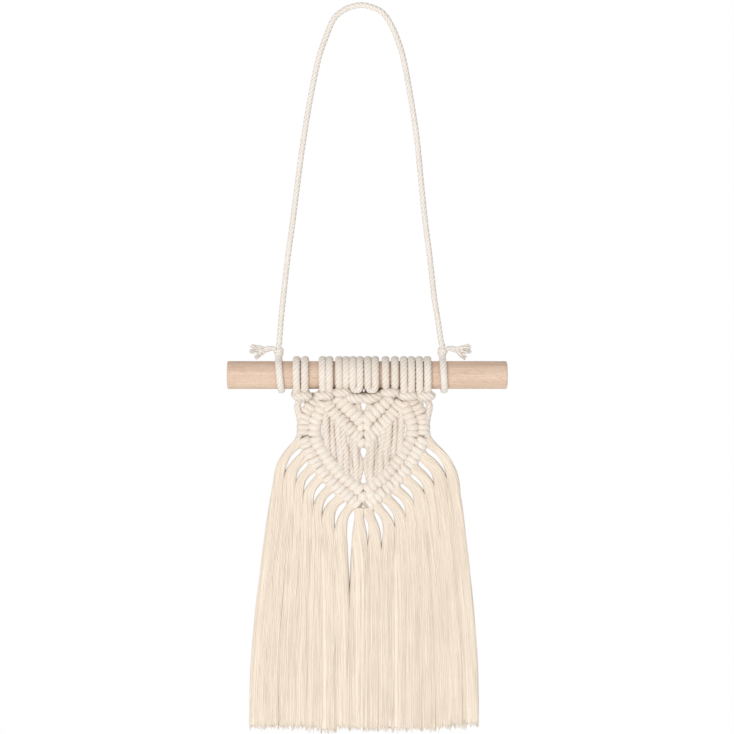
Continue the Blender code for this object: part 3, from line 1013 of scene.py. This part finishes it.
# The core's last stations: how far each is above its tip, and its share of the depth.
CORE_TIP_ABOVE = np.array([1.0, 0.3, 0.0])
CORE_TIP_DEPTH = np.array([1.0, 0.85, 0.4])
COLUMN_AT_END = 7.65
COLUMN_SHIFT = 0.3
LOCK_OVERLAP = 0.45
START_ABOVE_EXIT = 5.8
LEAVE_LENGTH = 5.0
LEAD_HALF_WIDTH = 2.9
LEAD_HALF_DEPTH = 2.0
GROWN_DEPTH = 1.2
GROWS_FROM = 5.0
GROWS_OVER = 16.0
COMBED_FROM = 30.0
# Stations down a lock: this many a millimetre apart near its knot, then this many more.
CLOSE_STATIONS = 24
FAR_STATIONS = 28
# The fringe's two sides and the gaps between its locks, from left to right: each one's
# top (across, down), the place it has swung out to, the depth where it closes, and
# half its width at the top.
EDGES = [
    (-36.6, 26.5, -47.8, 49.0, 50.0, 0.0),
    (-35.2, 32.6, -42.9, 50.0, 50.0, 1.7),
    (-30.9, 39.6, -36.6, 52.0, 52.0, 1.7),
    (-27.8, 46.2, -32.4, 58.0, 59.0, 1.8),
    (-22.8, 51.4, -27.2, 65.0, 66.0, 1.8),
    (-18.0, 57.2, -22.6, 71.0, 71.0, 1.7),
    (-11.9, 62.3, -15.6, 77.0, 78.0, 2.1),
    (-6.0, 66.4, -7.6, 82.0, 120.0, 2.0),
    (0.8, 69.4, 2.4, 79.0, 89.0, 1.3),
    (6.4, 66.2, 9.8, 78.0, 90.0, 1.8),
    (11.6, 62.2, 16.9, 75.0, 77.0, 1.9),
    (17.8, 57.8, 23.0, 70.0, 71.0, 1.9),
    (22.6, 52.3, 27.4, 63.0, 63.0, 1.7),
    (27.4, 46.8, 33.0, 58.0, 58.0, 1.8),
    (31.1, 39.9, 38.0, 53.0, 54.0, 1.8),
    (35.4, 32.4, 44.6, 50.0, 51.0, 1.8),
    (36.6, 26.5, 51.0, 52.0, 52.0, 0.0),
]
BOTTOM_DOWN = (DOWEL_BOTTOM - FRINGE_Z) / MM


def edge_at(number, down):
    """How far across one of the edges is at each depth, and half its gap's width."""
    top, top_down, out, out_down, close_down, half_gap = EDGES[number]
    share = (down - top_down) / (out_down - top_down)
    arched = 1.0 - (1.0 - np.clip(share, 0.0, 1.0)) ** 2 + 2.0 * np.minimum(share, 0.0)
    below = np.clip((down - out_down) / (BOTTOM_DOWN - out_down), 0.0, 1.0)
    end = (number - LOCKS / 2) * COLUMN_AT_END + COLUMN_SHIFT
    across = top + (out - top) * arched + (end - out) * np.sin(math.pi / 2 * below)
    opened = np.clip((down - top_down + 1.5) / 3.0, 0.0, 1.0)
    closed = np.clip((down - top_down) / (close_down - top_down), 0.0, 1.0)
    return across, half_gap * opened * (1.0 - closed) - LOCK_OVERLAP * closed


def evened(values):
    """Each value's mean with its three neighbours on either side."""
    padded = np.pad(values, 3, mode="edge")
    return np.convolve(padded, np.ones(7) / 7, mode="valid")


def lock_lines(number):
    """One lock's centre line in mm (across, forward, down), and its half width."""
    on_left = number <= LOCKS // 2
    inner = number if on_left else number - 1
    down = np.arange(EDGES[inner][1] - START_ABOVE_EXIT, BOTTOM_DOWN + 0.5, 1.0)
    left, left_gap = edge_at(number - 1, down)
    right, right_gap = edge_at(number, down)
    across = (left + left_gap + right - right_gap) / 2
    half_width = (right - right_gap - left - left_gap) / 2
    # Inside its knot a lock follows the row's core cord and is as narrow as its knot.
    row = np.array(mirrored(FRINGE_ROW, 1 if on_left else -1), float)
    knot = np.interp(down[0], row[:, 1], row[:, 0])
    leave = np.clip((down - down[0]) / LEAVE_LENGTH, 0.0, 1.0)
    across = across + (knot - across[0]) * (1.0 - leave) ** 2
    across = evened(across)
    half_width = evened(half_width)
    slope = np.gradient(across, down)
    half_width = half_width / np.sqrt(1.0 + slope ** 2)
    half_width = LEAD_HALF_WIDTH + (half_width - LEAD_HALF_WIDTH) * leave
    line = np.stack([across, 0.0 * down, down], axis=1)
    kept = np.unique(np.concatenate([
        np.arange(0, CLOSE_STATIONS),
        np.linspace(CLOSE_STATIONS, len(down) - 1, FAR_STATIONS).astype(int),
    ]))
    return line[kept], half_width[kept]


def lock_outline(angle, grown):
    """How far out a lock's outline is at an angle: an oval at its knot, then nearly square."""
    power = 2.0 + 5.0 * grown
    return (np.abs(np.cos(angle)) ** power + np.abs(np.sin(angle)) ** power) ** (-1.0 / power)


def lock_points(line):
    """From (across, forward, down) in mm to the frame."""
    return np.stack([
        PANEL_X + line[:, 0] * MM, -line[:, 1] * MM, DOWEL_BOTTOM - line[:, 2] * MM,
    ], axis=1)


def make_lock(number, finish):
    """One brushed cord end: a core with clumps of fine yarns combed down round it."""
    random = np.random.default_rng(SEED * 50 + number)
    centre, half_width = lock_lines(number)
    run = run_of(centre)
    grown = np.clip((run - GROWS_FROM) / GROWS_OVER, 0.0, 1.0)
    grown = grown * grown * (3 - 2 * grown)
    combed = np.clip(run / COMBED_FROM, 0.0, 1.0)
    half_depth = LEAD_HALF_DEPTH + GROWN_DEPTH * grown
    length = run[-1]
    ahead = unit(np.gradient(centre, axis=0))
    side = np.stack([ahead[:, 2], 0.0 * run, -ahead[:, 0]], axis=1)
    lock_end = random.normal(0.0, 0.5) + 2.0 - 0.25 * abs(LOCKS / 2 + 0.5 - number)
    skein = Skein()

    def around(turn, layer):
        """A line down the lock at an angle round it and a share of its way out."""
        twist = turn + 1.6 * np.exp(-run / 20.0)
        reach = lock_outline(twist, grown) * layer
        return np.cos(twist) * reach * half_width, np.sin(twist) * reach * half_depth

    # The core fills the lock behind its yarns and rounds off a little above their ends.
    core_stop = length + lock_end - CORE_ABOVE_END
    stops = np.append(run[run < core_stop - 1.6], core_stop - CORE_TIP_ABOVE)
    reached = np.append(run, 3 * run[-1] - 2 * run[-2])
    reaching = np.vstack([centre, 3 * centre[-1] - 2 * centre[-2]])
    core_line = between(reached, reaching, stops)
    core_width = np.interp(stops, run, half_width) * CORE_SHARE
    core_depth = np.interp(stops, run, half_depth) * CORE_SHARE
    core_depth[-3:] *= CORE_TIP_DEPTH
    angles, _, level = round_section(24)
    filled = lock_outline(angles, np.interp(stops, run, grown)[:, None])
    skein.lay(lock_points(core_line), core_width * MM, (angles, filled, level),
              flat=core_depth / core_width, facing=FORWARD, lay_length=None, shade=0.6)
    for layer, clumps in YARN_LAYERS:
        for clump in range(clumps):
            turn = TURN * (clump + random.uniform(-0.3, 0.3)) / clumps
            waves = random.uniform(0.0, TURN, 2)
            clump_roam = 0.1 * np.sin(run / 11.0 + waves[0])
            clump_roam = clump_roam + 0.12 * np.sin(run / 27.0 + waves[1])
            for yarn_number in range(YARNS_IN_CLUMP):
                apart = (yarn_number - 1 + random.uniform(-0.25, 0.25)) * TURN / clumps / 3
                across, forward = around(turn + apart * (0.4 + 0.6 * combed),
                                         layer + random.uniform(-0.02, 0.02))
                wave = random.uniform(0.0, TURN, 2)
                roam = clump_roam + 0.1 * np.sin(run / 8.0 + wave[0])
                crimp = 0.1 * np.sin(run / 2.4 + wave[1]) * np.exp(-run / 50.0)
                across = across + (roam + crimp) * combed
                if random.random() < STRAY_SHARE:
                    across = across + random.choice([-1, 1]) * STRAY_REACH * (run / length) ** 2
                forward = forward + 0.15 * roam * combed
                yarn = centre + side * across[:, None]
                yarn[:, 1] += forward
                end = length + lock_end + random.normal(0.0, END_SPREAD)
                if random.random() < SHORT_SHARE:
                    end -= random.uniform(1.5, 8.0)
                yarn = np.vstack([yarn, 3 * yarn[-1] - 2 * yarn[-2]])
                stops = np.append(reached[reached < end - 0.5], end)
                yarn = between(reached, yarn, stops)
                width = YARN_RADIUS * random.uniform(0.85, 1.2) * np.ones(len(stops))
                width[-1] *= 0.5
                skein.lay(lock_points(yarn), width * MM, YARN_SECTION, facing=FORWARD,
                          lay_length=None, shade=random.random())
    name = f"fringe_lock_{number:02d}"
    piece = skein.piece(f"{name}_brushed", finish, "brushed_fringe", None, name)
    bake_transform(piece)


# ---- everything ----
def build():
    make_camera()
    # Each cotton has two tones of its own and a darker colour for its painted shade.
    hanging_cotton = cotton(
        "hanging_cord_cotton", light=(0.93, 0.88, 0.82), dark=(0.82, 0.76, 0.69),
        painted_shade_colour=(0.62, 0.50, 0.40), fibres=26.0, slant=0.06, stretch=0.35, bump=0.5)
    knotted_cotton = cotton(
        "knotted_cord_cotton", light=(0.915, 0.84, 0.76), dark=(0.79, 0.70, 0.61),
        painted_shade_colour=(0.60, 0.47, 0.36), fibres=30.0, slant=0.05, stretch=0.35, bump=0.55)
    fringe_cotton = cotton(
        "brushed_fringe_cotton", light=(0.91, 0.81, 0.69), dark=(0.85, 0.74, 0.615),
        painted_shade_colour=(0.81, 0.69, 0.555), fibres=9.0, slant=0.02, stretch=0.12, bump=0.25)
    tied_ends = make_tied_end("left", -1, 1.5 * MM, hanging_cotton)
    tied_ends += make_tied_end("right", 1, 0.9 * MM, hanging_cotton)
    make_hanging_cord(hanging_cotton)
    make_studio()
    make_dowel(beech())
    make_lark_heads(knotted_cotton)
    make_knotted_panel(knotted_cotton)
    for number in range(1, LOCKS + 1):
        make_lock(number, fringe_cotton)


build()
